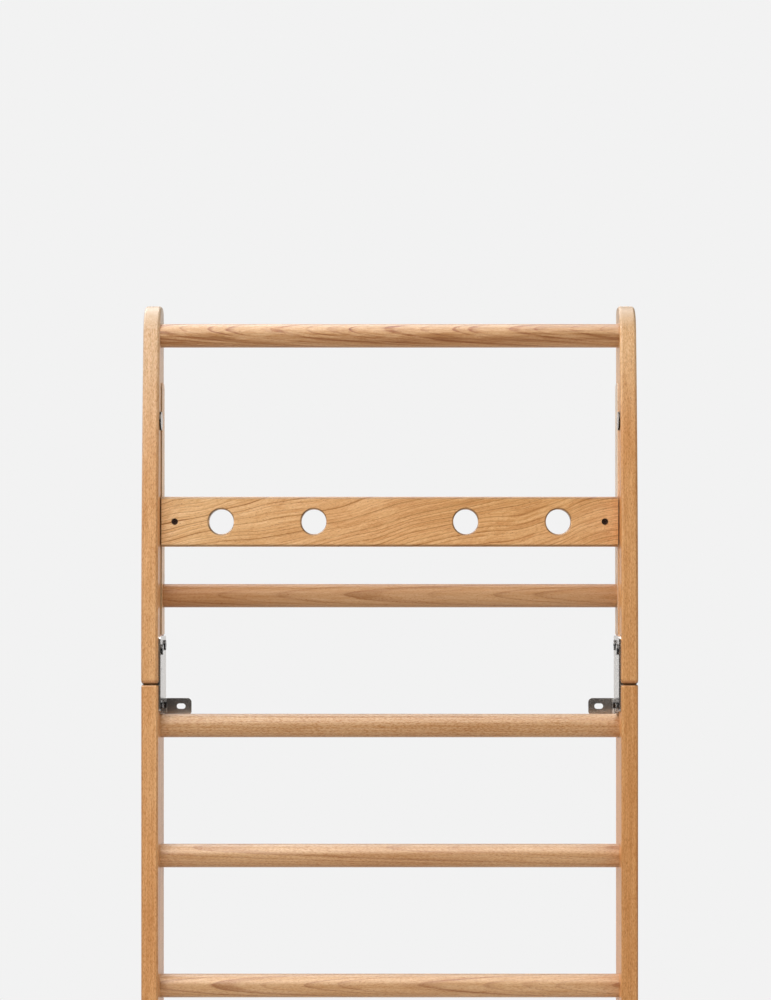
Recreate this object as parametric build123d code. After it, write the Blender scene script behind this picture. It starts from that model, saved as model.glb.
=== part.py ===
from build123d import *
import math
import os

# Wall bars in two sections: a straight lower section that stands on the floor, and an upper section whose
# front edge curves back to the wall. Millimetres. X is the width, -Y the user's side, +Y the wall, +Z up.
# The origin is on the floor, in the middle of the width and of the depth.

# Overall
WIDTH = 710.0               # over both stiles
STILE_THICK = 24.0
UPPER_DEPTH = 92.0          # upper stile at its foot, wall to front
LOWER_DEPTH = 89.0          # lower stile, wall to front

# Rungs
RUNG_DIA = 34.0
RUNG_PITCH = 188.0
FIRST_RUNG_Z = 157.3        # lowest rung's axis above the floor
LOWER_RUNGS = 8
LOWER_RUNG_TO_WALL = 45.0   # each rung's axis to the wall plane
REAR_RUNG_TO_WALL = 22.0
TOP_RUNG_TO_WALL = 41.4
TENON_DIA = 25.0
TENON_LEN = 14.0
TENON_CHAMFER = 1.0

# Stiles
JOINT_ABOVE_RUNG = 60.7     # joint between the sections, above the highest lower rung's axis
TOP_ABOVE_RUNG = 45.1       # top of the stiles above the top rung's axis
CURVE_RADIUS = 4300.0       # front edge of the upper stile, upright where it meets the lower stile
TOP_FRONT_RADIUS = 42.0
TOP_REAR_RADIUS = 14.0
TOP_FLAT = 6.0              # left between the two round corners where the top is shallow
UPPER_CORNER_RADIUS = 8.0   # corners at the upper stile's foot
UPPER_EDGE_RADIUS = 4.0     # round-over of the upper stile's long edges
LOWER_CORNER_RADIUS = 3.8
LOWER_EDGE_RADIUS = 3.0

# Cross board
BOARD_HEIGHT = 72.0
BOARD_THICK = 18.0
BOARD_ABOVE_JOINT = 233.7   # board's middle
BOARD_FRONT_TO_WALL = 58.0
BOARD_END_GAP = 0.3         # to the strip at each end
BOARD_EDGE_RADIUS = 3.5     # along its long edges; the ends are sawn square
BOARD_HOLE_DIA = 36.0
BOARD_HOLE_FROM_STILE = 88.0    # outer hole's axis to the stile's inner face
BOARD_HOLE_SPACING = 133.5      # outer hole's axis to the inner one's
BOARD_HOLE_ROUNDING = 2.5
BOARD_SCREW_FROM_STILE = 21.0
COUNTERBORE_DIA = 9.6
COUNTERBORE_DEPTH = 6.5

# Board screws (socket heads)
BOARD_SCREW_DIA = 5.0
BOARD_SCREW_HEAD_DIA = 8.5
BOARD_SCREW_HEAD = 5.0
BOARD_SCREW_SOCKET = 4.0    # across flats
BOARD_SCREW_SOCKET_DEPTH = 2.5
BOARD_SCREW_LEN = 16.0      # under the head

# Inlay strips in the upper stiles' inner faces
STRIP_THICK = 4.0
STRIP_PROUD = 1.6
STRIP_REAR_TO_WALL = 7.0
STRIP_FRONT_TO_WALL = 50.0      # at its foot
STRIP_TOP_FRONT_TO_WALL = 42.5  # at its top
STRIP_ABOVE_BRACKET = 2.0
STRIP_HEIGHT = 365.0
STRIP_CORNER_RADIUS = 9.0
STRIP_EDGE_RADIUS = 0.6

# Steel sheet brackets
PLATE_THICK = 3.0
PLATE_CORNER_RADIUS = 5.0
BEND_INNER_RADIUS = 3.0
TAB_REACH = 40.5            # from the stile's inner face
TAB_HEIGHT = 23.6
TAB_TOP_RADIUS = 6.0
TAB_FOOT_RADIUS = 4.0
TAB_RELIEF = 1.5            # slits above and below the tab, where the sheet is bent
SLOT_LENGTH = 13.0
SLOT_WIDTH = 8.0
SLOT_FROM_STILE = 25.3      # slot's middle to the stile's inner face
JOINT_PLATE_FRONT_TO_WALL = 81.0
JOINT_PLATE_ABOVE = 69.0    # above the joint
JOINT_PLATE_BELOW = 40.0    # below the joint, at the front
JOINT_TAB_BELOW = 46.0      # tab's lower edge below the joint
JOINT_BOLTS = ((68.0, 49.5), (26.0, 55.5), (71.0, -28.0), (14.0, -30.0))  # to the wall, above the joint
PILOT_HOLE_DIA = 4.0
PILOT_HOLE = (66.0, 21.0)   # to the wall, above the joint
PILOT_HOLE_DEPTH = 9.0      # into the stile behind the plate

# Lower wall brackets
LOW_PLATE_FRONT_TO_WALL = 42.0
LOW_PLATE_HEIGHT = 66.0
LOW_BOLT_TO_WALL = 27.0
LOW_BOLT_SPACING = 40.0

# Bracket bolts, anchor bolts and their threaded inserts
BOLT_DIA = 8.0
BOLT_LEN = 17.0             # under the head
BOLT_HEAD_DIA = 15.0
BOLT_HEAD = 2.6
BOLT_HEAD_ROUNDING = 0.4
BOLT_SOCKET = 5.0           # across flats
BOLT_SOCKET_DEPTH = 1.6
INSERT_DIA = 11.0
INSERT_LEN = 15.0
ANCHOR_HEAD_DIA = 27.0
ANCHOR_HEAD = 2.6
ANCHOR_HEAD_ROUNDING = 0.3
ANCHOR_LEN = 14.0
ANCHOR_TO_WALL = 57.5
ANCHOR_ABOVE_JOINT = 378.7

# Angles behind the cross board
ANGLE_THICK = 3.0
ANGLE_HEIGHT = 50.0
ANGLE_BOARD_LEG = 32.0
ANGLE_STILE_LEG = 30.0
ANGLE_INNER_RADIUS = 1.5
ANGLE_SCREW_SPACING = 30.0
ANGLE_SCREW_DIA = 4.5
ANGLE_SCREW_LEN = 18.0      # under the head
ANGLE_SCREW_HEAD_DIA = 8.6
ANGLE_SCREW_HEAD = 2.4
ANGLE_SCREW_POINT = 4.0

# Dowels, pins and pads
DOWEL_DIA = 8.0
DOWEL_LEN = 40.0
DOWEL_CHAMFER = 1.0
DOWELS_TO_WALL = (54.0, 30.0)
PIN_DIA = 6.0
PIN_IN_TENON = 7.0          # pin's axis from the tenon's shoulder
PIN_PAST_AXIS = 4.0         # pin's end beyond the rung's axis
PAD_THICK = 3.0
PAD_INSET = 4.5             # pad's sides inside the stile's
PAD_CORNER_RADIUS = 4.0

# Clearances
WOOD_CLEAR = 0.1            # round wooden pieces in their holes, on the radius
METAL_CLEAR = 0.1           # screws and inserts in their holes, on the radius
BOLT_HOLE_CLEAR = 0.25      # bolts in the sheet brackets, on the radius
BLIND_GAP = 0.5             # past the end of whatever sits in a blind hole

# Planes and heights that follow from the sizes above
WALL_Y = UPPER_DEPTH / 2
UPPER_FRONT_Y = -UPPER_DEPTH / 2
LOWER_FRONT_Y = WALL_Y - LOWER_DEPTH
INNER_X = WIDTH / 2 - STILE_THICK
STRIP_FACE_X = INNER_X - STRIP_PROUD
JOINT_Z = FIRST_RUNG_Z + (LOWER_RUNGS - 1) * RUNG_PITCH + JOINT_ABOVE_RUNG
REAR_RUNG_Z = FIRST_RUNG_Z + LOWER_RUNGS * RUNG_PITCH
TOP_RUNG_Z = REAR_RUNG_Z + 2 * RUNG_PITCH
TOP_Z = TOP_RUNG_Z + TOP_ABOVE_RUNG
BOARD_Z = JOINT_Z + BOARD_ABOVE_JOINT
BOARD_FRONT_Y = WALL_Y - BOARD_FRONT_TO_WALL
BOARD_BACK_Y = BOARD_FRONT_Y + BOARD_THICK
BOARD_LENGTH = 2 * (STRIP_FACE_X - BOARD_END_GAP)
OUTER_HOLE_X = INNER_X - BOARD_HOLE_FROM_STILE
INNER_HOLE_X = OUTER_HOLE_X - BOARD_HOLE_SPACING
BOARD_SCREW_X = INNER_X - BOARD_SCREW_FROM_STILE
STRIP_FOOT_Z = JOINT_Z + JOINT_PLATE_ABOVE + STRIP_ABOVE_BRACKET
LOW_BRACKET_Z = FIRST_RUNG_Z + RUNG_PITCH / 2
ANCHOR_Z = JOINT_Z + ANCHOR_ABOVE_JOINT
ANGLE_SCREW_Y = BOARD_BACK_Y + ANGLE_THICK + (ANGLE_STILE_LEG - ANGLE_THICK) / 2


def from_wall(distance):
    """Y of something at a distance from the wall plane."""
    return WALL_Y - distance


# Every rung as (name, Y, Z, X of its shoulder)
RUNGS = [
    (f"lower_rung_{i + 1}", from_wall(LOWER_RUNG_TO_WALL), FIRST_RUNG_Z + i * RUNG_PITCH, INNER_X)
    for i in range(LOWER_RUNGS)
]
REAR_RUNG = ("rear_rung", from_wall(REAR_RUNG_TO_WALL), REAR_RUNG_Z, STRIP_FACE_X)
TOP_RUNG = ("top_rung", from_wall(TOP_RUNG_TO_WALL), TOP_RUNG_Z, INNER_X)

JOINT_BOLT_SPOTS = [(from_wall(to_wall), JOINT_Z + above) for to_wall, above in JOINT_BOLTS]
LOW_BOLT_SPOTS = [
    (from_wall(LOW_BOLT_TO_WALL), LOW_BRACKET_Z + step * LOW_BOLT_SPACING / 2) for step in (1, -1)
]
ANGLE_SCREW_SPOTS = [(ANGLE_SCREW_Y, BOARD_Z + step * ANGLE_SCREW_SPACING / 2) for step in (1, -1)]
DOWEL_SPOTS = [from_wall(to_wall) for to_wall in DOWELS_TO_WALL]


# ---------- plain solids between two planes ----------

def block(x0, x1, y0, y1, z0, z1):
    middle = Pos((x0 + x1) / 2, (y0 + y1) / 2, (z0 + z1) / 2)
    return middle * Box(abs(x1 - x0), abs(y1 - y0), abs(z1 - z0))


def rod_x(dia, x0, x1, y, z):
    return Pos((x0 + x1) / 2, y, z) * Rot(0, 90, 0) * Cylinder(dia / 2, abs(x1 - x0))


def rod_y(dia, x, y0, y1, z):
    return Pos(x, (y0 + y1) / 2, z) * Rot(90, 0, 0) * Cylinder(dia / 2, abs(y1 - y0))


def rod_z(dia, x, y, z0, z1):
    return Pos(x, y, (z0 + z1) / 2) * Cylinder(dia / 2, abs(z1 - z0))


def side_plate(outline, x0, x1):
    """A flat piece: an outline in the YZ plane, given thickness from x0 to x1."""
    return extrude(Plane.YZ.offset(x0) * outline, x1 - x0)


def rounded_outline(points, radii):
    """A polygon in the YZ plane with its own radius at each corner."""
    outline = make_face(Polyline(*points, close=True))
    for (y, z), radius in zip(points, radii):
        if radius > 0:
            corner = outline.vertices().sort_by_distance((y, z, 0))[0]
            outline = fillet(corner, radius)
    return outline


def round_over(plate, radius):
    """Rounds the long edges of a piece that lies between two X planes."""
    faces = plate.faces().sort_by(Axis.X)
    return fillet(faces[0].edges() + faces[-1].edges(), radius)


# ---------- stiles, right-hand side ----------

def upper_outline():
    height = TOP_Z - JOINT_Z

    def front(above):
        back = CURVE_RADIUS - math.sqrt(CURVE_RADIUS ** 2 - above ** 2)
        return (UPPER_FRONT_Y + back, JOINT_Z + above)

    edges = [
        ThreePointArc(front(0), front(height / 2), front(height)),
        Line(front(height), (WALL_Y, TOP_Z)),
        Line((WALL_Y, TOP_Z), (WALL_Y, JOINT_Z)),
        Line((WALL_Y, JOINT_Z), front(0)),
    ]
    outline = make_face(edges)
    top_depth = WALL_Y - front(height)[0]
    front_radius = min(TOP_FRONT_RADIUS, top_depth - TOP_FLAT)
    rear_radius = min(TOP_REAR_RADIUS, top_depth - front_radius)
    corners = [
        (front(height), front_radius),
        ((WALL_Y, TOP_Z), rear_radius),
        ((WALL_Y, JOINT_Z), UPPER_CORNER_RADIUS),
        (front(0), UPPER_CORNER_RADIUS),
    ]
    for (y, z), radius in corners:
        corner = outline.vertices().sort_by_distance((y, z, 0))[0]
        outline = fillet(corner, radius)
    return outline


def mortises(rungs):
    """Blind holes for the rungs' tenons, and the pin holes that cross them from the wall side."""
    depth = TENON_LEN + BLIND_GAP
    holes = []
    for _, y, z, shoulder_x in rungs:
        holes.append(rod_x(TENON_DIA + 2 * WOOD_CLEAR, shoulder_x, shoulder_x + depth, y, z))
        holes.append(pin_hole(y, z, shoulder_x))
    return holes


def pin_hole(y, z, shoulder_x):
    end_y = y - PIN_PAST_AXIS - BLIND_GAP
    return rod_y(PIN_DIA + 2 * WOOD_CLEAR, shoulder_x + PIN_IN_TENON, WALL_Y, end_y, z)


def insert_holes(spots, bolt_end):
    """Stepped blind holes: wide for the inserts, narrow past them for the ends of the bolts."""
    holes = []
    for y, z in spots:
        end_x = INNER_X + INSERT_LEN + BLIND_GAP
        holes.append(rod_x(INSERT_DIA + 2 * METAL_CLEAR, INNER_X, end_x, y, z))
        if bolt_end > end_x:
            holes.append(rod_x(BOLT_DIA + 2 * METAL_CLEAR, end_x, bolt_end + BLIND_GAP, y, z))
    return holes


def dowel_holes():
    x = INNER_X + STILE_THICK / 2
    reach = DOWEL_LEN / 2 + BLIND_GAP
    return [rod_z(DOWEL_DIA + 2 * WOOD_CLEAR, x, y, JOINT_Z - reach, JOINT_Z + reach) for y in DOWEL_SPOTS]


def pilot_hole():
    to_wall, above = PILOT_HOLE
    end_x = INNER_X + PILOT_HOLE_DEPTH
    return rod_x(PILOT_HOLE_DIA, INNER_X - PLATE_THICK, end_x, from_wall(to_wall), JOINT_Z + above)


def angle_screw_holes():
    end_x = STRIP_FACE_X - ANGLE_THICK + ANGLE_SCREW_LEN + BLIND_GAP
    dia = ANGLE_SCREW_DIA + 2 * METAL_CLEAR
    return [rod_x(dia, STRIP_FACE_X - ANGLE_THICK, end_x, y, z) for y, z in ANGLE_SCREW_SPOTS]


def strip_outline(grown):
    """The strip's outline, or with grown the outline of the groove that it sits in."""
    top_z = STRIP_FOOT_Z + STRIP_HEIGHT + grown
    rear_y = from_wall(STRIP_REAR_TO_WALL) + grown
    points = [
        (from_wall(STRIP_FRONT_TO_WALL) - grown, STRIP_FOOT_Z - grown),
        (rear_y, STRIP_FOOT_Z - grown),
        (rear_y, top_z),
        (from_wall(STRIP_TOP_FRONT_TO_WALL) - grown, top_z),
    ]
    return rounded_outline(points, (0, 0, STRIP_CORNER_RADIUS, STRIP_CORNER_RADIUS))


def upper_stile():
    stile = round_over(side_plate(upper_outline(), INNER_X, INNER_X + STILE_THICK), UPPER_EDGE_RADIUS)
    groove = side_plate(strip_outline(WOOD_CLEAR), INNER_X - STRIP_PROUD, STRIP_FACE_X + STRIP_THICK)
    cuts = [groove]
    cuts += mortises([REAR_RUNG, TOP_RUNG])
    cuts += insert_holes(JOINT_BOLT_SPOTS, bracket_bolt_end())
    cuts += insert_holes([(from_wall(ANCHOR_TO_WALL), ANCHOR_Z)], INNER_X + ANCHOR_LEN)
    cuts += dowel_holes()
    cuts += angle_screw_holes()
    cuts.append(pilot_hole())
    return stile - cuts


def lower_stile():
    points = [
        (LOWER_FRONT_Y, PAD_THICK),
        (WALL_Y, PAD_THICK),
        (WALL_Y, JOINT_Z),
        (LOWER_FRONT_Y, JOINT_Z),
    ]
    outline = rounded_outline(points, [LOWER_CORNER_RADIUS] * len(points))
    stile = round_over(side_plate(outline, INNER_X, INNER_X + STILE_THICK), LOWER_EDGE_RADIUS)
    cuts = mortises(RUNGS)
    cuts += insert_holes(JOINT_BOLT_SPOTS, bracket_bolt_end())
    cuts += insert_holes(LOW_BOLT_SPOTS, bracket_bolt_end())
    cuts += dowel_holes()
    return stile - cuts


# ---------- rungs and what locks them ----------

def rung(y, z, shoulder_x):
    body = rod_x(RUNG_DIA, -shoulder_x, shoulder_x, y, z)
    for side in (-1, 1):
        end_x = side * (shoulder_x + TENON_LEN)
        tenon = rod_x(TENON_DIA, side * shoulder_x, end_x, y, z)
        tip = tenon.faces().sort_by(Axis.X)[-1 if side > 0 else 0]
        body += chamfer(tip.edges(), TENON_CHAMFER)
    locks = pin_hole(y, z, shoulder_x)
    return body - [locks, mirror(locks, Plane.YZ)]


def rung_pins(rungs):
    pins = []
    for _, y, z, shoulder_x in rungs:
        pins.append(rod_y(PIN_DIA, shoulder_x + PIN_IN_TENON, WALL_Y, y - PIN_PAST_AXIS, z))
    return pins


def joint_dowels():
    x = INNER_X + STILE_THICK / 2
    dowels = []
    for y in DOWEL_SPOTS:
        dowel = rod_z(DOWEL_DIA, x, y, JOINT_Z - DOWEL_LEN / 2, JOINT_Z + DOWEL_LEN / 2)
        ends = dowel.edges().filter_by(GeomType.CIRCLE)
        dowels.append(chamfer(ends, DOWEL_CHAMFER))
    return dowels


# ---------- inlay strip ----------

def inlay_strip():
    strip = side_plate(strip_outline(0), STRIP_FACE_X, STRIP_FACE_X + STRIP_THICK)
    strip = fillet(strip.faces().sort_by(Axis.X)[0].edges(), STRIP_EDGE_RADIUS)
    _, y, z, shoulder_x = REAR_RUNG
    passage = rod_x(TENON_DIA + 2 * WOOD_CLEAR, shoulder_x, shoulder_x + STRIP_THICK, y, z)
    return strip - [passage, *angle_screw_holes()]


# ---------- cross board and its fixings ----------

def cross_board():
    half = BOARD_LENGTH / 2
    low_z = BOARD_Z - BOARD_HEIGHT / 2
    board = block(-half, half, BOARD_FRONT_Y, BOARD_BACK_Y, low_z, low_z + BOARD_HEIGHT)
    board = fillet(board.edges().filter_by(Axis.X), BOARD_EDGE_RADIUS)
    for x in (INNER_HOLE_X, OUTER_HOLE_X):
        for side in (-1, 1):
            board -= rounded_hole(side * x)
    seat_y = BOARD_FRONT_Y + COUNTERBORE_DEPTH
    shank_dia = BOARD_SCREW_DIA + 2 * METAL_CLEAR
    for side in (-1, 1):
        board -= rod_y(COUNTERBORE_DIA, side * BOARD_SCREW_X, BOARD_FRONT_Y, seat_y, BOARD_Z)
        board -= rod_y(shank_dia, side * BOARD_SCREW_X, seat_y, BOARD_BACK_Y, BOARD_Z)
    return board


def rounded_hole(x):
    """What a hole with rounded rims takes out of the board: a bore that flares at both faces."""
    bore = BOARD_HOLE_DIA / 2
    flare = BOARD_HOLE_ROUNDING
    rim = bore + flare
    profile = make_face([
        Line((0, BOARD_FRONT_Y), (rim, BOARD_FRONT_Y)),
        RadiusArc((rim, BOARD_FRONT_Y), (bore, BOARD_FRONT_Y + flare), flare),
        Line((bore, BOARD_FRONT_Y + flare), (bore, BOARD_BACK_Y - flare)),
        RadiusArc((bore, BOARD_BACK_Y - flare), (rim, BOARD_BACK_Y), flare),
        Line((rim, BOARD_BACK_Y), (0, BOARD_BACK_Y)),
        Line((0, BOARD_BACK_Y), (0, BOARD_FRONT_Y)),
    ])
    return Pos(x, 0, BOARD_Z) * revolve(profile, Axis.Y)


def board_screw():
    """Socket screw, head sunk so that the shank starts at the counterbore's floor."""
    seat_y = BOARD_FRONT_Y + COUNTERBORE_DEPTH
    head_y = seat_y - BOARD_SCREW_HEAD
    x = BOARD_SCREW_X
    screw = rod_y(BOARD_SCREW_HEAD_DIA, x, head_y, seat_y, BOARD_Z)
    screw += rod_y(BOARD_SCREW_DIA, x, seat_y, seat_y + BOARD_SCREW_LEN, BOARD_Z)
    socket = extrude(RegularPolygon(BOARD_SCREW_SOCKET / math.sqrt(3), 6), BOARD_SCREW_SOCKET_DEPTH)
    return screw - Pos(x, head_y, BOARD_Z) * Rot(-90, 0, 0) * socket


def board_angle():
    """Angle behind the board: one leg on the board's back, the other on the strip."""
    low_z = BOARD_Z - ANGLE_HEIGHT / 2
    high_z = BOARD_Z + ANGLE_HEIGHT / 2
    corner_x = STRIP_FACE_X - ANGLE_THICK
    corner_y = BOARD_BACK_Y + ANGLE_THICK
    end_x = STRIP_FACE_X - ANGLE_BOARD_LEG
    end_y = BOARD_BACK_Y + ANGLE_STILE_LEG
    board_leg = block(end_x, STRIP_FACE_X, BOARD_BACK_Y, corner_y, low_z, high_z)
    stile_leg = block(corner_x, STRIP_FACE_X, BOARD_BACK_Y, end_y, low_z, high_z)
    angle = board_leg + stile_leg
    uprights = angle.edges().filter_by(Axis.Z)
    angle = fillet(uprights.sort_by_distance((corner_x, corner_y, BOARD_Z))[0], ANGLE_INNER_RADIUS)
    thread_dia = BOARD_SCREW_DIA + 2 * METAL_CLEAR
    thread = rod_y(thread_dia, BOARD_SCREW_X, BOARD_BACK_Y, corner_y, BOARD_Z)
    return angle - [thread, *angle_screw_holes()]


def angle_screws():
    head_x = STRIP_FACE_X - ANGLE_THICK
    screws = []
    for y, z in ANGLE_SCREW_SPOTS:
        shank_x = head_x + ANGLE_SCREW_LEN - ANGLE_SCREW_POINT
        point = Rot(0, 90, 0) * Cone(ANGLE_SCREW_DIA / 2, ANGLE_SCREW_DIA / 8, ANGLE_SCREW_POINT)
        head = rod_x(ANGLE_SCREW_HEAD_DIA, head_x - ANGLE_SCREW_HEAD, head_x, y, z)
        head = fillet(head.faces().sort_by(Axis.X)[0].edges(), ANGLE_SCREW_HEAD / 2)
        screw = head + rod_x(ANGLE_SCREW_DIA, head_x, shank_x, y, z)
        screws.append(screw + Pos(shank_x + ANGLE_SCREW_POINT / 2, y, z) * point)
    return screws


# ---------- steel brackets ----------

def wall_tab(foot_z):
    """Slotted tab on the wall plane, and the bend that joins it to the plate."""
    inner = BEND_INNER_RADIUS
    outer = BEND_INNER_RADIUS + PLATE_THICK
    bend_x = INNER_X - outer
    bend_y = WALL_Y - outer
    end_x = INNER_X - TAB_REACH
    top_z = foot_z + TAB_HEIGHT
    bend = rod_z(2 * outer, bend_x, bend_y, foot_z, top_z) - rod_z(2 * inner, bend_x, bend_y, foot_z, top_z)
    bend &= block(bend_x, INNER_X, bend_y, WALL_Y, foot_z, top_z)
    tab = block(end_x, bend_x, WALL_Y - PLATE_THICK, WALL_Y, foot_z, top_z)
    ends = tab.edges().filter_by(Axis.Y)
    tab = fillet(ends.sort_by_distance((end_x, WALL_Y, top_z))[0], TAB_TOP_RADIUS)
    ends = tab.edges().filter_by(Axis.Y)
    tab = fillet(ends.sort_by_distance((end_x, WALL_Y, foot_z))[0], TAB_FOOT_RADIUS)
    slot = extrude(SlotOverall(SLOT_LENGTH, SLOT_WIDTH), PLATE_THICK)
    slot_at = Pos(INNER_X - SLOT_FROM_STILE, WALL_Y, foot_z + TAB_HEIGHT / 2)
    return bend + (tab - slot_at * Rot(90, 0, 0) * slot)


def sheet_bracket(points, radii, bolt_spots, tab_foot_z):
    """Plate on the stile's inner face, with a tab bent out of its rear edge onto the wall plane."""
    plate = side_plate(rounded_outline(points, radii), INNER_X - PLATE_THICK, INNER_X)
    bend_y = WALL_Y - BEND_INNER_RADIUS - PLATE_THICK
    low_z = tab_foot_z - TAB_RELIEF
    high_z = tab_foot_z + TAB_HEIGHT + TAB_RELIEF
    plate -= block(INNER_X - PLATE_THICK, INNER_X, bend_y, WALL_Y, low_z, high_z)
    bracket = plate + wall_tab(tab_foot_z)
    dia = BOLT_DIA + 2 * BOLT_HOLE_CLEAR
    return bracket - [rod_x(dia, INNER_X - PLATE_THICK, INNER_X, y, z) for y, z in bolt_spots]


def joint_bracket():
    front_y = from_wall(JOINT_PLATE_FRONT_TO_WALL)
    top_z = JOINT_Z + JOINT_PLATE_ABOVE
    tab_foot_z = JOINT_Z - JOINT_TAB_BELOW
    points = [
        (front_y, JOINT_Z - JOINT_PLATE_BELOW),
        (WALL_Y, tab_foot_z),
        (WALL_Y, top_z),
        (front_y, top_z),
    ]
    radii = (PLATE_CORNER_RADIUS, 0, PLATE_CORNER_RADIUS, PLATE_CORNER_RADIUS)
    return sheet_bracket(points, radii, JOINT_BOLT_SPOTS, tab_foot_z) - pilot_hole()


def low_bracket():
    front_y = from_wall(LOW_PLATE_FRONT_TO_WALL)
    low_z = LOW_BRACKET_Z - LOW_PLATE_HEIGHT / 2
    high_z = LOW_BRACKET_Z + LOW_PLATE_HEIGHT / 2
    points = [(front_y, low_z), (WALL_Y, low_z), (WALL_Y, high_z), (front_y, high_z)]
    radii = [PLATE_CORNER_RADIUS] * len(points)
    return sheet_bracket(points, radii, LOW_BOLT_SPOTS, LOW_BRACKET_Z - TAB_HEIGHT / 2)


def bracket_bolt_end():
    return INNER_X - PLATE_THICK + BOLT_LEN


def socket_bolt(y, z, seat_x, head_dia, head, rounding, length):
    """Flat-headed bolt along X, its head against seat_x on the room side."""
    disc = rod_x(head_dia, seat_x - head, seat_x, y, z)
    disc = fillet(disc.faces().sort_by(Axis.X)[0].edges(), rounding)
    socket = extrude(RegularPolygon(BOLT_SOCKET / math.sqrt(3), 6), BOLT_SOCKET_DEPTH)
    bolt = disc + rod_x(BOLT_DIA, seat_x, seat_x + length, y, z)
    return bolt - Pos(seat_x - head, y, z) * Rot(0, 90, 0) * socket


def bracket_bolts(spots):
    seat_x = INNER_X - PLATE_THICK
    return [
        socket_bolt(y, z, seat_x, BOLT_HEAD_DIA, BOLT_HEAD, BOLT_HEAD_ROUNDING, BOLT_LEN) for y, z in spots
    ]


def anchor_bolt():
    """Broad flat disc with a plain face, its shank in an insert."""
    y = from_wall(ANCHOR_TO_WALL)
    disc = rod_x(ANCHOR_HEAD_DIA, INNER_X - ANCHOR_HEAD, INNER_X, y, ANCHOR_Z)
    disc = fillet(disc.faces().sort_by(Axis.X)[0].edges(), ANCHOR_HEAD_ROUNDING)
    return disc + rod_x(BOLT_DIA, INNER_X, INNER_X + ANCHOR_LEN, y, ANCHOR_Z)


def inserts(spots):
    """Threaded inserts as plain sleeves, flush with the stile's inner face."""
    sleeves = []
    for y, z in spots:
        outer = rod_x(INSERT_DIA, INNER_X, INNER_X + INSERT_LEN, y, z)
        sleeves.append(outer - rod_x(BOLT_DIA + 2 * METAL_CLEAR, INNER_X, INNER_X + INSERT_LEN, y, z))
    return sleeves


# ---------- floor pad ----------

def floor_pad():
    pad = block(INNER_X + PAD_INSET, INNER_X + STILE_THICK - PAD_INSET,
                LOWER_FRONT_Y + PAD_INSET, WALL_Y - PAD_INSET, 0, PAD_THICK)
    return fillet(pad.edges().filter_by(Axis.Z), PAD_CORNER_RADIUS)


# ---------- writing the parts ----------

def write(name, *solids):
    whole = solids[0] if len(solids) == 1 else Compound(children=list(solids))
    export_step(whole, f"parts/{name}.step")


def write_pair(name, *solids):
    """Writes the right-hand piece, and its mirror image as the left-hand one."""
    write(f"{name}_right", *solids)
    write(f"{name}_left", *[mirror(solid, Plane.YZ) for solid in solids])


def main():
    os.makedirs("parts", exist_ok=True)
    for name, y, z, shoulder_x in [*RUNGS, REAR_RUNG, TOP_RUNG]:
        write(name, rung(y, z, shoulder_x))
    write("cross_board", cross_board())
    write("board_screws", board_screw(), mirror(board_screw(), Plane.YZ))
    write_pair("upper_stile", upper_stile())
    write_pair("lower_stile", lower_stile())
    write_pair("inlay_strip", inlay_strip())
    write_pair("rung_pins", *rung_pins([*RUNGS, REAR_RUNG, TOP_RUNG]))
    write_pair("joint_dowels", *joint_dowels())
    write_pair("board_angle", board_angle())
    write_pair("angle_screws", *angle_screws())
    write_pair("joint_bracket", joint_bracket())
    write_pair("joint_bolts", *bracket_bolts(JOINT_BOLT_SPOTS))
    write_pair("joint_inserts", *inserts(JOINT_BOLT_SPOTS))
    write_pair("anchor_bolt", anchor_bolt())
    write_pair("anchor_insert", *inserts([(from_wall(ANCHOR_TO_WALL), ANCHOR_Z)]))
    write_pair("wall_bracket", low_bracket())
    write_pair("wall_bracket_bolts", *bracket_bolts(LOW_BOLT_SPOTS))
    write_pair("wall_bracket_inserts", *inserts(LOW_BOLT_SPOTS))
    write_pair("floor_pad", floor_pad())


main()
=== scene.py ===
import math

import bpy
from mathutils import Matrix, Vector

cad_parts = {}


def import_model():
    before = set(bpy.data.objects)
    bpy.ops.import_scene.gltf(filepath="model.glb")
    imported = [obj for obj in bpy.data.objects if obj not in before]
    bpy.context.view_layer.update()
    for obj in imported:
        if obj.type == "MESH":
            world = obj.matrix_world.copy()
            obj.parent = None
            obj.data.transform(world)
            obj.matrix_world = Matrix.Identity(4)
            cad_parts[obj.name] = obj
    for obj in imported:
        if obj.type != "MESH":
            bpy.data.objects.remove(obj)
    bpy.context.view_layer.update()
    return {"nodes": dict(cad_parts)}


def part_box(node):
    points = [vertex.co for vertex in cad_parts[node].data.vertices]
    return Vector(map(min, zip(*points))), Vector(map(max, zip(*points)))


# Wall bars in oiled oak with satin steel brackets. Metres, in the CAD frame: X is the width, -Y the
# user's side, +Y the wall, +Z up. Every shape but the floor is a CAD node, and this file gives each
# one its material.

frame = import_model()
NODES = frame["nodes"]
SIDES = ("left", "right")


# ---------- node helpers ----------

def put(tree, kind, inputs=None, **props):
    """A new node; inputs maps a socket's name or number to a value or to the socket that feeds it."""
    node = tree.nodes.new(kind)
    for name, value in props.items():
        setattr(node, name, value)
    for key, value in (inputs or {}).items():
        if isinstance(value, bpy.types.NodeSocket):
            tree.links.new(value, node.inputs[key])
        else:
            node.inputs[key].default_value = value
    return node


def calc(tree, operation, *values, clamp=False):
    node = put(tree, "ShaderNodeMath", dict(enumerate(values)), operation=operation, use_clamp=clamp)
    return node.outputs[0]


def vector_calc(tree, operation, *values):
    node = put(tree, "ShaderNodeVectorMath", dict(enumerate(values)), operation=operation)
    return node.outputs["Value" if operation in ("LENGTH", "DOT_PRODUCT") else "Vector"]


def stretched(tree, vector, scale):
    return vector_calc(tree, "MULTIPLY", vector, scale)


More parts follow.
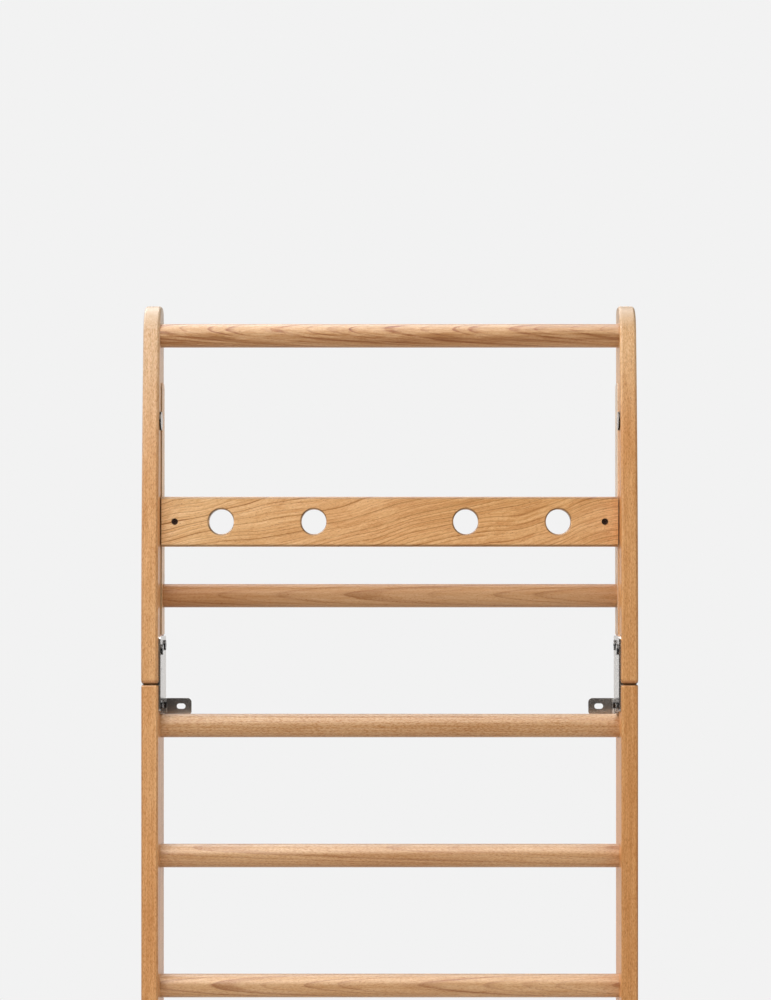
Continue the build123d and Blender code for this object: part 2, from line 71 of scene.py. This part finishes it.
def noise(tree, vector, scale, detail, roughness=0.5, output="Fac"):
    inputs = {"Vector": vector, "Scale": scale, "Detail": detail, "Roughness": roughness}
    return put(tree, "ShaderNodeTexNoise", inputs).outputs[output]


def noise_line(tree, value, scale, detail):
    """Noise along one number, such as the count of years."""
    inputs = {"W": value, "Scale": scale, "Detail": detail}
    return put(tree, "ShaderNodeTexNoise", inputs, noise_dimensions="1D").outputs["Fac"]


def remap(tree, value, low, high, to_low=0.0, to_high=1.0, smooth=False):
    kind = "SMOOTHSTEP" if smooth else "LINEAR"
    inputs = {"Value": value, "From Min": low, "From Max": high, "To Min": to_low, "To Max": to_high}
    return put(tree, "ShaderNodeMapRange", inputs, interpolation_type=kind).outputs["Result"]


def ramp(tree, value, stops):
    """A ramp of greys; each stop is (position, shade)."""
    node = put(tree, "ShaderNodeValToRGB", {"Fac": value})
    elements = node.color_ramp.elements
    while len(elements) < len(stops):
        elements.new(0.5)
    for element, (position, shade) in zip(elements, stops):
        element.position = position
        element.color = (shade, shade, shade, 1)
    return node.outputs["Color"]


def mix(tree, share, first, second, blend="MIX"):
    node = put(tree, "ShaderNodeMix", data_type="RGBA", blend_type=blend)
    for key, value in ((0, share), (6, first), (7, second)):
        if isinstance(value, bpy.types.NodeSocket):
            tree.links.new(value, node.inputs[key])
        else:
            node.inputs[key].default_value = (*value, 1) if isinstance(value, tuple) else value
    return node.outputs[2]


def material(name):
    """An empty node material and its shader."""
    made = bpy.data.materials.new(name)
    made.use_nodes = True
    tree = made.node_tree
    shader = next(n for n in tree.nodes if n.type == "BSDF_PRINCIPLED")
    return made, tree, shader


def feed(tree, shader, values):
    for key, value in values.items():
        if isinstance(value, bpy.types.NodeSocket):
            tree.links.new(value, shader.inputs[key])
        else:
            shader.inputs[key].default_value = value


def bump(tree, height, strength, distance):
    inputs = {"Strength": strength, "Distance": distance, "Height": height}
    return put(tree, "ShaderNodeBump", inputs).outputs["Normal"]


def srgb(code):
    """Linear colour of a six-digit hex code."""
    parts = [int(code[i:i + 2], 16) / 255 for i in (0, 2, 4)]
    return tuple(c / 12.92 if c <= 0.04045 else ((c + 0.055) / 1.055) ** 2.4 for c in parts)


# ---------- oak ----------

# How often the marks of the wood repeat in a metre: twice across the log, and along it
FIBRES = (900, 900, 14)
STREAKS = (240, 240, 4)
CLOUDS = (14, 14, 2.2)
DASHES = (900, 900, 230)
PORES = (1300, 1300, 260)
RING_PATCHES = (25, 25, 7)
FINE_WAVE = (60, 60, 18)

FINE_WANDER = 0.0016
PORE_SHARE = 0.6
PORE_COLOUR = "8a4a12"
GRAIN_POWERS = (0.7, 1.2, 2.0)      # a darker grain takes little red away, and much blue
PAINTED_GAP_SHADE = 0.22                    # painted shade of the wood in the narrow gap at a hidden end
PAINTED_GAP_REACH = (0.0006, 0.003)         # how far from the end it is full, and how far it reaches


def log_place(tree, pith, axis, shift):
    """Object coordinates turned so that the log's axis, which passes through pith, becomes Z."""
    turn = Vector(axis).rotation_difference(Vector((0, 0, 1)))
    origin = -(turn @ Vector(pith)) + Vector((0, 0, shift))
    coordinates = put(tree, "ShaderNodeTexCoord").outputs["Object"]
    inputs = {"Vector": coordinates, "Location": origin, "Rotation": turn.to_euler()}
    return put(tree, "ShaderNodeMapping", inputs, vector_type="POINT").outputs["Vector"]


def sway(tree, place, size, scale):
    """How far a slow noise moves a place across the log, by half of size at most.

    scale: how often the noise repeats in a metre, along each axis.
    """
    drift = noise(tree, stretched(tree, place, scale), 1, 2, output="Color")
    drift = vector_calc(tree, "SUBTRACT", drift, (0.5, 0.5, 0.5))
    return stretched(tree, drift, (size, size, 0))


def year_rings(tree, place, ring, line):
    """Dark where a year's growth starts: sharp on the heart's side, fading outwards over line of a ring.

    The years differ in width and in strength, and in patches of the wood they show less.
    """
    split = put(tree, "ShaderNodeSeparateXYZ", {0: place}).outputs
    flat = put(tree, "ShaderNodeCombineXYZ", {0: split["X"], 1: split["Y"]}).outputs[0]
    radius = vector_calc(tree, "LENGTH", flat)
    count = calc(tree, "DIVIDE", radius, ring)
    count = calc(tree, "MULTIPLY_ADD", noise_line(tree, count, 0.45, 2), 1.6, count)
    year = calc(tree, "FRACT", count)
    stops = [(0.0, 0.7), (0.04, 1.0), (0.35 * line, 0.7), (line, 0.1), (0.9, 0.0), (1.0, 0.4)]
    dark = ramp(tree, year, stops)
    strength = noise_line(tree, calc(tree, "FLOOR", count), 0.77, 0)
    dark = calc(tree, "MULTIPLY", dark, remap(tree, strength, 0.3, 0.7, 0.35, 1.0))
    patches = noise(tree, stretched(tree, place, RING_PATCHES), 1, 2)
    return calc(tree, "MULTIPLY", dark, remap(tree, patches, 0.3, 0.65, 0.55, 1.05))


def object_place(tree, axis):
    """How far along an axis of the object a point lies."""
    coordinates = put(tree, "ShaderNodeTexCoord").outputs["Object"]
    return put(tree, "ShaderNodeSeparateXYZ", {0: coordinates}).outputs[axis]


def facing(tree, axis):
    """1 on a face that looks along the axis, -1 on one that looks back along it."""
    normal = put(tree, "ShaderNodeNewGeometry").outputs["Normal"]
    return put(tree, "ShaderNodeSeparateXYZ", {0: normal}).outputs[axis]


def recoloured(tree, colour, axis, start, full, share, other):
    """Colour that gives way to the other one along an axis: from start on, and by share from full on."""
    amount = remap(tree, object_place(tree, axis), start, full, 0.0, share, smooth=True)
    return mix(tree, amount, colour, srgb(other))


def painted_edge_shade(tree, axis, back, ahead):
    """Painted shade: 1 on flat faces; on rounded edges back or ahead, as they look back or ahead along the
    axis.
    """
    turned = facing(tree, axis)
    cubed = calc(tree, "MULTIPLY", turned, calc(tree, "MULTIPLY", turned, turned))
    rounded = calc(tree, "ABSOLUTE", calc(tree, "SUBTRACT", turned, cubed))
    rounded = remap(tree, rounded, 0.03, 0.28, smooth=True)
    drop = remap(tree, turned, -0.05, 0.05, back - 1, ahead - 1)
    return calc(tree, "MULTIPLY_ADD", rounded, drop, 1.0)


def oak(name, pith, axis, shift, ring, tones, rings, contrast, line=0.45, wander=0.006, wave=(5, 1.6),
        dash=0.25, gloss=0.5, edges=(), face=None, stretches=(), painted_sheen_end=None, painted_gap_shade_end=None):
    """Oiled oak as one solid pattern: growth rings about the log's axis, fibres, pores and dashes.

    pith, axis, shift: where the log's middle passes, which way it runs, and which part of it this is.
    ring: a year's growth, in metres; line: the dark share of it; wander, wave: how far the rings stray, and
    how often across and along the log. tones: the light, middle and dark wood.
    rings, contrast, dash: how strongly the rings, the streaks and fibres, and the dashes show.
    edges: tuples that painted_edge_shade takes, for painted shade on rounded edges, by which way they face
    the light; face: (axis, shade) for painted light or shade on the faces that look back along an axis.
    stretches: tuples that recoloured takes: painted light, sheen and shade along an axis, and the top
    rung's
    darker right end. painted_sheen_end: one more of painted sheen, which veils the marks too.
    painted_gap_shade_end: the height of an end that a joint hides, where painted shade darkens the narrow
    gap.
    """
    made, tree, shader = material(name)
    light, middle, dark = (srgb(code) for code in tones)
    place = log_place(tree, pith, axis, shift)
    bent = vector_calc(tree, "ADD", place, sway(tree, place, wander, (wave[0], wave[0], wave[1])))
    bent = vector_calc(tree, "ADD", bent, sway(tree, place, FINE_WANDER, FINE_WAVE))
    early = year_rings(tree, bent, ring, line)

    fibre = noise(tree, stretched(tree, bent, FIBRES), 1, 4, 0.6)
    streak = noise(tree, stretched(tree, bent, STREAKS), 1, 3, 0.55)
    slow = noise(tree, stretched(tree, place, CLOUDS), 1, 2)
    dashes = noise(tree, stretched(tree, bent, DASHES), 1, 2)
    pore_noise = noise(tree, stretched(tree, bent, PORES), 1, 2)
    pores = calc(tree, "MULTIPLY_ADD", early, 0.095, pore_noise)
    pores = remap(tree, pores, 0.63, 0.7)

    colour = mix(tree, remap(tree, slow, 0.35, 0.65), middle, light)
    for stretch in stretches:
        colour = recoloured(tree, colour, *stretch)
    colour = mix(tree, calc(tree, "MULTIPLY", early, 0.72 * rings, clamp=True), colour, dark)
    colour = mix(tree, remap(tree, streak, 0.3, 0.7, 0.0, 0.35 * contrast), colour, middle)
    grain = remap(tree, fibre, 0.25, 0.75, 1 - 0.13 * contrast, 1 + 0.09 * contrast)
    streaks = remap(tree, streak, 0.3, 0.65, 1 - 0.14 * contrast, 1 + 0.06 * contrast)
    grain = calc(tree, "MULTIPLY", grain, streaks)
    grain = calc(tree, "MULTIPLY", grain, remap(tree, dashes, 0.36, 0.56, 1 - 0.6 * dash, 1 + 0.1 * dash))
    # The powers change how far each channel strays from the usual grain, and not the usual grain itself
    usual_grain = (1 - 0.046 * contrast) * (1 - 0.1 * dash)
    channels = [calc(tree, "MULTIPLY", calc(tree, "POWER", grain, power), usual_grain ** (1 - power))
                for power in GRAIN_POWERS]
    tint = put(tree, "ShaderNodeCombineXYZ", dict(enumerate(channels))).outputs[0]
    colour = mix(tree, 1.0, colour, tint, "MULTIPLY")
    # Painted shade and light: on rounded edges, in a joint's gap, and on faces, by which way they look
    shades = [painted_edge_shade(tree, *edge) for edge in edges]
    # Painted shade in the narrow gap at an end that a joint hides
    if painted_gap_shade_end is not None:
        from_end = calc(tree, "ABSOLUTE", calc(tree, "SUBTRACT", object_place(tree, "Z"), painted_gap_shade_end))
        shades.append(remap(tree, from_end, *PAINTED_GAP_REACH, PAINTED_GAP_SHADE, 1.0, smooth=True))
    # Painted light or shade on the faces that look back along an axis
    if face is not None:
        shades.append(remap(tree, facing(tree, face[0]), -0.9, -0.3, face[1], 1.0))
    for shade in shades:
        grey = put(tree, "ShaderNodeCombineXYZ", {0: shade, 1: shade, 2: shade}).outputs[0]
        colour = mix(tree, 1.0, colour, grey, "MULTIPLY")
    colour = mix(tree, calc(tree, "MULTIPLY", pores, PORE_SHARE), colour, srgb(PORE_COLOUR))
    # Painted sheen, laid over the wood's marks too
    if painted_sheen_end is not None:
        colour = recoloured(tree, colour, *painted_sheen_end)

    height = calc(tree, "SUBTRACT", calc(tree, "MULTIPLY", fibre, 0.35), calc(tree, "MULTIPLY", pores, 0.8))
    roughness = calc(tree, "MULTIPLY_ADD", pores, 0.15, remap(tree, fibre, 0.3, 0.7, 0.29, 0.39))
    feed(tree, shader, {
        "Base Color": colour,
        "Roughness": roughness,
        "Specular IOR Level": gloss,
        "Normal": bump(tree, height, 0.2, 0.00025),
    })
    return made


# ---------- metal, rubber and the small parts ----------

BRUSHED = (900, 900, 12)            # scratches a metre across them and along them
UNBRUSHED = (500, 500, 500)


def brushed_steel(name, colour, rough, along=BRUSHED, rim=1.0):
    """Satin steel; rim darkens, as a painted reflection, what doesn't look along X, such as a bolt head's
    rim.
    """
    made, tree, shader = material(name)
    place = put(tree, "ShaderNodeTexCoord").outputs["Object"]
    brushing = noise(tree, stretched(tree, place, along), 1, 3, 0.6)
    cloud = noise(tree, place, 90, 3, 0.6)
    base = mix(tree, remap(tree, brushing, 0.3, 0.7), tuple(0.95 * c for c in colour), colour)
    base = mix(tree, remap(tree, cloud, 0.35, 0.75, 0.0, 0.12), base, tuple(0.8 * c for c in colour))
    # Painted reflection: rims darkened where the steel would mirror the dark room in front
    if rim != 1:
        turned = calc(tree, "ABSOLUTE", facing(tree, "X"))
        base = mix(tree, remap(tree, turned, 0.6, 0.9, 1.0, 0.0), base, tuple(rim * c for c in colour))
    roughness = remap(tree, calc(tree, "ADD", brushing, calc(tree, "MULTIPLY", cloud, 0.5)), 0.5, 1.0,
                      rough - 0.01, rough + 0.04)
    feed(tree, shader, {
        "Base Color": base,
        "Metallic": 1.0,
        "Roughness": roughness,
        "Normal": bump(tree, brushing, 0.012, 0.0001),
    })
    return made


def dark_metal(name):
    """Blackened steel with some grime."""
    made, tree, shader = material(name)
    place = put(tree, "ShaderNodeTexCoord").outputs["Object"]
    grime = noise(tree, place, 700, 3, 0.6)
    base = mix(tree, remap(tree, grime, 0.35, 0.7), (0.026, 0.012, 0.007), (0.06, 0.03, 0.018))
    feed(tree, shader, {
        "Base Color": base,
        "Metallic": 0.2,
        "Specular IOR Level": 0.12,
        "Roughness": remap(tree, grime, 0.3, 0.7, 0.4, 0.6),
        "Normal": bump(tree, grime, 0.15, 0.0001),
    })
    return made


def brass(name):
    made, tree, shader = material(name)
    place = put(tree, "ShaderNodeTexCoord").outputs["Object"]
    turned = noise(tree, stretched(tree, place, (2600, 40, 40)), 1, 3, 0.6)
    base = mix(tree, remap(tree, turned, 0.3, 0.7), (0.42, 0.28, 0.10), (0.62, 0.44, 0.18))
    feed(tree, shader, {
        "Base Color": base,
        "Metallic": 1.0,
        "Roughness": remap(tree, turned, 0.3, 0.7, 0.28, 0.42),
        "Normal": bump(tree, turned, 0.2, 0.0001),
    })
    return made


def rubber(name):
    made, tree, shader = material(name)
    place = put(tree, "ShaderNodeTexCoord").outputs["Object"]
    grit = noise(tree, place, 1800, 3, 0.6)
    base = mix(tree, remap(tree, grit, 0.35, 0.7), (0.018, 0.018, 0.018), (0.04, 0.039, 0.037))
    feed(tree, shader, {
        "Base Color": base,
        "Roughness": remap(tree, grit, 0.3, 0.7, 0.7, 0.88),
        "Normal": bump(tree, grit, 0.4, 0.0002),
    })
    return made


# ---------- which node wears what ----------

# A pith is where the middle of a log passes, from the middle of the piece that was cut from it.

def wear(node_name, made):
    slots = NODES[node_name].data.materials
    slots.clear()
    slots.append(made)


def middle_of(node_name):
    low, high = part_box(node_name)
    return (low + high) / 2


# Rungs. Each one is cut from the log in its own way. rise: how far up its face the rings are tangent, in
# degrees; slope: how fast they come out of it along the rung; painted_sheen: how far a painted sheen pales
# its top. The other names are those that oak takes.
RUNG_CUTS = {
    "top_rung": dict(rise=29, slope=0.077, painted_sheen=0.5, ring=0.0033, rings=2.9, contrast=2.4, dash=0.2,
                     gloss=0.4),
    "rear_rung": dict(rise=3, slope=0.042, painted_sheen=0.02, ring=0.0042, rings=1.1, contrast=1.1, dash=0.15,
                      gloss=0.16),
    "lower_rung_8": dict(rise=75, slope=0.006, painted_sheen=0.34, ring=0.0042, rings=0.45, contrast=1.4, dash=0.55,
                         gloss=0.4),
}
OTHER_CUTS = [
    dict(rise=50, slope=0.03, painted_sheen=0.3, ring=0.004, rings=0.9, contrast=1.1, dash=0.4, gloss=0.5),
    dict(rise=80, slope=0.01, painted_sheen=0.4, ring=0.0045, rings=0.6, contrast=1.0, dash=0.5, gloss=0.5),
    dict(rise=10, slope=0.05, painted_sheen=0.2, ring=0.0038, rings=1.2, contrast=1.2, dash=0.3, gloss=0.5),
]
# The rear rung's tones are darker: painted shade of the cross board above it
RUNG_TONES = {"top_rung": ("deae7a", "ca9460", "864814"), "rear_rung": ("c89b6f", "b68356", "804c24")}
LOWER_TONES = ("d8aa79", "c4905e", "86491a")
RUNG_LINE = 0.28
RUNG_WANDER = 0.004
RUNG_WAVE = (8, 3)
RUNG_PITH_DEPTH = 0.1
DARK_RIGHT_END = ("X", 0.15, 0.24, 0.6, "90602f")

# Painted bands along a rung: how far above its axis each one starts and is full, then its share and its
# colour
# Painted sheen: a pale grey along the top of each rung
PAINTED_SHEEN_TOP = (0.001, 0.014)
PAINTED_SHEEN_COLOUR = "dac8aa"
# Painted shade along the top rung's lower side
PAINTED_LOWER_SHADE = (0.004, -0.006, 0.7, "a16c40")
# Painted bounce light that brings its very bottom back to a lighter tone
PAINTED_UNDERSIDE_LIGHT = (-0.011, -0.014, 0.7, "d8a470")


def rung_oak(name, number):
    """Oak cut so that the ring lines make long tongues along the rung, pointing left; painted sheen pales
    its top.

    The top rung's right end is darker; painted shade darkens its lower side, painted bounce light lifts its
    bottom.
    """
    cut = dict(RUNG_CUTS.get(name, OTHER_CUTS[number % len(OTHER_CUTS)]))
    rise, slope, painted_sheen = math.radians(cut.pop("rise")), cut.pop("slope"), cut.pop("painted_sheen")
    outwards = Vector((0, -math.cos(rise), math.sin(rise)))
    pith = middle_of(name) - RUNG_PITH_DEPTH * outwards
    height = middle_of(name).z

    def band(start, full, share, colour):
        return ("Z", height + start, height + full, share, colour)

    stretches = [band(*PAINTED_SHEEN_TOP, painted_sheen, PAINTED_SHEEN_COLOUR)]
    if name == "top_rung":
        stretches += [DARK_RIGHT_END, band(*PAINTED_LOWER_SHADE), band(*PAINTED_UNDERSIDE_LIGHT)]
    return oak(f"oak_{name}", pith, Vector((1, 0, 0)) - slope * outwards, shift=1.7 * number,
               tones=RUNG_TONES.get(name, LOWER_TONES), line=RUNG_LINE, wander=RUNG_WANDER, wave=RUNG_WAVE,
               stretches=stretches, **cut)


for number, name in enumerate(sorted(n for n in NODES if "rung" in n and "pins" not in n)):
    wear(name, rung_oak(name, number))

# Stiles, straight in the grain: painted light pales them towards the top, a painted grey sheen veils the
# very top, and painted shade darkens the upper ones' rounded foot and the gap where they end at the joint
JOINT_Z, TOP_Z = (corner.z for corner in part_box("upper_stile_left"))
STILE_TONES = {
    "upper_stile_left": ("e3ad75", "db9c60", "9e6233"), "upper_stile_right": ("dca468", "d19153", "945727"),
    "lower_stile_left": ("e1ab73", "d99a5e", "9c6132"), "lower_stile_right": ("dca468", "d09153", "925626"),
}
STILE_PITH = {"left": Vector((0.20, 0.02, 0)), "right": Vector((-0.20, 0.02, 0))}
STILE_AXIS = (0.012, -0.012, 1)
# Painted light and sheen: the stiles grow paler towards the top, where more light falls and is mirrored
STILE_PAINTED_LIGHT = {"left": ("Z", TOP_Z - 0.292, TOP_Z - 0.022, 0.62, "f1d3ad"),
                "right": ("Z", TOP_Z - 0.212, TOP_Z - 0.052, 0.7, "f8d09e")}
# Painted sheen: a pale grey that veils the very top of each stile and the marks of its wood
STILE_PAINTED_TOP_SHEEN = {"left": ("Z", TOP_Z - 0.045, TOP_Z - 0.012, 0.75, "b29c82"),
                 "right": ("Z", TOP_Z - 0.045, TOP_Z - 0.012, 0.75, "a68c6e")}
# Painted shade on the upper stiles' rounded foot just above the joint, which looks down
PAINTED_FOOT_SHADE = ("Z", JOINT_Z + 0.0075, JOINT_Z + 0.003, 0.6, "9c5c36")
# Painted light on the right stiles' inner faces, which look left towards the light
STILE_PAINTED_FACE_LIGHT = {"left": None, "right": ("X", 1.15)}
# Painted shade on the rounded edges, darkest on those that look right, away from the light
STILE_PAINTED_EDGE_SHADE = {"left": [("X", 0.8, 0.75)], "right": [("X", 0.94, 0.72)]}
STILES = [(stem, side) for stem in ("upper_stile", "lower_stile") for side in SIDES]
for number, (stem, side) in enumerate(STILES):
    name = f"{stem}_{side}"
    stretches = [STILE_PAINTED_LIGHT[side]]
    if stem == "upper_stile":
        stretches.append(PAINTED_FOOT_SHADE)
    wear(name, oak(f"oak_{name}", middle_of(name) + STILE_PITH[side], STILE_AXIS, shift=2.3 * number + 11,
                   ring=0.0036, tones=STILE_TONES[name], rings=0.3, contrast=1.2, wander=0.0025,
                   wave=(3, 0.9), dash=0.42, gloss=0.4, edges=STILE_PAINTED_EDGE_SHADE[side], face=STILE_PAINTED_FACE_LIGHT[side],
                   stretches=stretches, painted_sheen_end=STILE_PAINTED_TOP_SHEEN[side], painted_gap_shade_end=JOINT_Z))

# Cross board, cut flat and slanting through the log, so that the rings run up across it; painted light on
# the left
BOARD_PITH = Vector((0, 0.02, -0.16))
BOARD_AXIS = (1, 0, 0.24)
# Painted shade on the rounded edges and hole rims, more on those that look right, away from the light
BOARD_PAINTED_EDGE_SHADE = [("Z", 0.5, 0.48), ("X", 1.0, 0.6)]
# Painted light: the board grows paler to the left, nearer the light
BOARD_PAINTED_LIGHT = [("X", -0.05, -0.34, 0.7, "ffd49c")]
wear("cross_board", oak("oak_board", middle_of("cross_board") + BOARD_PITH, BOARD_AXIS, shift=5.5,
                        ring=0.0058, tones=("ebb279", "dfa465", "9c600c"), rings=2.5, contrast=1.7,
                        line=0.18, wander=0.05, wave=(9, 4.6), dash=0.22, edges=BOARD_PAINTED_EDGE_SHADE,
                        stretches=BOARD_PAINTED_LIGHT))

# Inlay strips, pins and dowels
STRIP_PITH = Vector((0.1, 0.03, 0))
STRIP_AXIS = (0, -0.01, 1)
STRIP_TONES = {"left": ("f4c68e", "e8b47c", "a8744a"), "right": ("deb78e", "d0a67c", "9a6a42")}
# Painted sheen: the right strip grows paler and greyer towards its top
STRIP_PAINTED_SHEEN = {"left": (), "right": [("Z", JOINT_Z + 0.146, JOINT_Z + 0.266, 0.85, "f4dcc0")]}
# Painted shade on the left strip's front side, and painted light on the right strip's
STRIP_PAINTED_FACE_LIGHT_AND_SHADE = {"left": ("Y", 0.36), "right": ("Y", 1.1)}
DOWEL_PITH = Vector((0.05, 0, 0))
DOWEL_AXIS = (0, 0, 1)
DOWEL_TONES = ("e6c79c", "dcb98c", "b98f62")
for side in SIDES:
    strip, dowels = f"inlay_strip_{side}", f"joint_dowels_{side}"
    wear(strip, oak(f"oak_strip_{side}", middle_of(strip) + STRIP_PITH, STRIP_AXIS, shift=31,
                    ring=0.003, tones=STRIP_TONES[side], rings=0.7, contrast=0.7, face=STRIP_PAINTED_FACE_LIGHT_AND_SHADE[side],
                    stretches=STRIP_PAINTED_SHEEN[side]))
    wood = oak(f"dowel_wood_{side}", middle_of(dowels) + DOWEL_PITH, DOWEL_AXIS, shift=44,
               ring=0.002, tones=DOWEL_TONES, rings=0.5, contrast=0.5)
    wear(f"rung_pins_{side}", wood)
    wear(dowels, wood)

# Metal and rubber
STEEL = brushed_steel("bracket_steel", (0.49, 0.448, 0.41), 0.23)
BOLT_STEEL = brushed_steel("bolt_steel", (0.45, 0.43, 0.41), 0.25, UNBRUSHED, rim=0.1)
ANCHOR_STEEL = brushed_steel("anchor_steel", (0.44, 0.365, 0.305), 0.25, UNBRUSHED, rim=0.08)
SCREW = dark_metal("dark_screw")
BRASS = brass("insert_brass")
RUBBER = rubber("pad_rubber")
for side in SIDES:
    for stem in ("joint_bracket", "wall_bracket", "board_angle"):
        wear(f"{stem}_{side}", STEEL)
    for stem in ("joint_bolts", "wall_bracket_bolts"):
        wear(f"{stem}_{side}", BOLT_STEEL)
    wear(f"anchor_bolt_{side}", ANCHOR_STEEL)
    for stem in ("joint_inserts", "wall_bracket_inserts", "anchor_insert"):
        wear(f"{stem}_{side}", BRASS)
    wear(f"angle_screws_{side}", SCREW)
    wear(f"floor_pad_{side}", RUBBER)
wear("board_screws", SCREW)


# ---------- floor, light and camera ----------

FLOOR_RADIUS = 5
FLOOR_STEPS = 96
FLOOR_COLOUR = (0.84, 0.84, 0.84, 1)

BACKDROP = 0.888                    # what the camera sees, and a mirror that looks back past the object
BACKDROP_LEAN = (0.4, 1.04)         # its share in a mirror: the slope towards the right, and the middle's
AMBIENT = 0.62                      # what the world gives a surface, before it leans
AMBIENT_LEAN = (0.07, -0.37, 0.13)  # brighter on the user's side and from above
ROOM = 0.105                        # what a glossy surface mirrors where there is no lamp or backdrop
BESIDE = 0.4                        # and more where it mirrors the room's two sides
OVERHEAD = 8.5                      # and towards the great lamp above and to the left
OVERHEAD_SIDE = (-0.6, -0.1, 1.0)

# How far a mirrored ray points back, aside or towards the lamp where each of them starts and is full
BACKDROP_BACK = (0.3, 0.75)
BACKDROP_ASIDE = (0.45, 0.2)
BESIDE_ASIDE = (0.55, 0.9)
OVERHEAD_TOWARDS = (0.45, 1.05)

KEY_PLACE = (-1.1, -2.9, 3.7)       # a softbox above the user's left shoulder
KEY_AIM = (0, 0, 1.6)
KEY_SIZE = 1.6
KEY_POWER = 31.5
KEY_COLOUR = (0.95, 1.0, 1.04)

CAMERA_PLACE = (0.012, -3.440, 1.6259)
CAMERA_LENS = 85.65                 # mm, on a sensor 36 mm wide
CAMERA_SHIFT = (-0.0126, 0.12)


def floor():
    mesh = bpy.data.meshes.new("floor")
    turns = [2 * math.pi * i / FLOOR_STEPS for i in range(FLOOR_STEPS)]
    rim = [(FLOOR_RADIUS * math.cos(turn), FLOOR_RADIUS * math.sin(turn), 0) for turn in turns]
    mesh.from_pydata(rim, [], [list(range(FLOOR_STEPS))])
    piece = bpy.data.objects.new("floor", mesh)
    bpy.context.scene.collection.objects.link(piece)
    made, tree, shader = material("floor")
    feed(tree, shader, {"Base Color": FLOOR_COLOUR, "Roughness": 0.85, "Specular IOR Level": 0.1})
    mesh.materials.append(made)


def world():
    """Plain pale for the camera, leaning light for the object, and a studio for what mirrors it."""
    made = bpy.data.worlds.new("studio")
    bpy.context.scene.world = made
    made.use_nodes = True
    made.cycles.sampling_method = "NONE"
    tree = made.node_tree
    tree.nodes.clear()
    direction = put(tree, "ShaderNodeTexCoord").outputs["Generated"]
    split = put(tree, "ShaderNodeSeparateXYZ", {0: direction}).outputs
    path = put(tree, "ShaderNodeLightPath").outputs
    ambient = AMBIENT
    for axis, lean in zip("XYZ", AMBIENT_LEAN):
        ambient = calc(tree, "MULTIPLY_ADD", split[axis], lean, ambient)

    aside = calc(tree, "ABSOLUTE", split["X"])
    behind = remap(tree, split["Y"], *BACKDROP_BACK, 0.0, BACKDROP, smooth=True)
    behind = calc(tree, "MULTIPLY", behind, remap(tree, aside, *BACKDROP_ASIDE, smooth=True))
    behind = calc(tree, "MULTIPLY", behind, calc(tree, "MULTIPLY_ADD", split["X"], *BACKDROP_LEAN))
    beside = remap(tree, aside, *BESIDE_ASIDE, 0.0, BESIDE, smooth=True)
    towards = vector_calc(tree, "DOT_PRODUCT", direction, OVERHEAD_SIDE)
    overhead = remap(tree, towards, *OVERHEAD_TOWARDS, 0.0, OVERHEAD, smooth=True)
    room = calc(tree, "ADD", calc(tree, "MAXIMUM", behind, overhead), calc(tree, "ADD", beside, ROOM))

    lit = put(tree, "ShaderNodeBackground", {"Color": ambient}).outputs[0]
    seen = put(tree, "ShaderNodeBackground", {"Color": (BACKDROP, BACKDROP, BACKDROP, 1)}).outputs[0]
    mirrored = put(tree, "ShaderNodeBackground", {"Color": room}).outputs[0]
    shiny = calc(tree, "MAXIMUM", path["Is Glossy Ray"], path["Is Transmission Ray"])
    first = put(tree, "ShaderNodeMixShader", {0: shiny, 1: lit, 2: mirrored}).outputs[0]
    second = put(tree, "ShaderNodeMixShader", {0: path["Is Camera Ray"], 1: first, 2: seen}).outputs[0]
    put(tree, "ShaderNodeOutputWorld", {"Surface": second})


def key_lamp():
    light = bpy.data.lights.new("key", "AREA")
    light.shape = "SQUARE"
    light.size = KEY_SIZE
    light.energy = KEY_POWER
    light.color = KEY_COLOUR
    lamp = bpy.data.objects.new("key", light)
    lamp.location = KEY_PLACE
    lamp.rotation_euler = (Vector(KEY_AIM) - Vector(KEY_PLACE)).to_track_quat("-Z", "Y").to_euler()
    bpy.context.scene.collection.objects.link(lamp)


def camera():
    data = bpy.data.cameras.new("camera")
    data.sensor_width = 36
    data.lens = CAMERA_LENS
    data.shift_x, data.shift_y = CAMERA_SHIFT
    eye = bpy.data.objects.new("camera", data)
    eye.location = CAMERA_PLACE
    eye.rotation_euler = (math.pi / 2, 0, 0)
    bpy.context.scene.collection.objects.link(eye)
    bpy.context.scene.camera = eye


floor()
world()
key_lamp()
camera()
bpy.context.scene.view_settings.view_transform = "Standard"
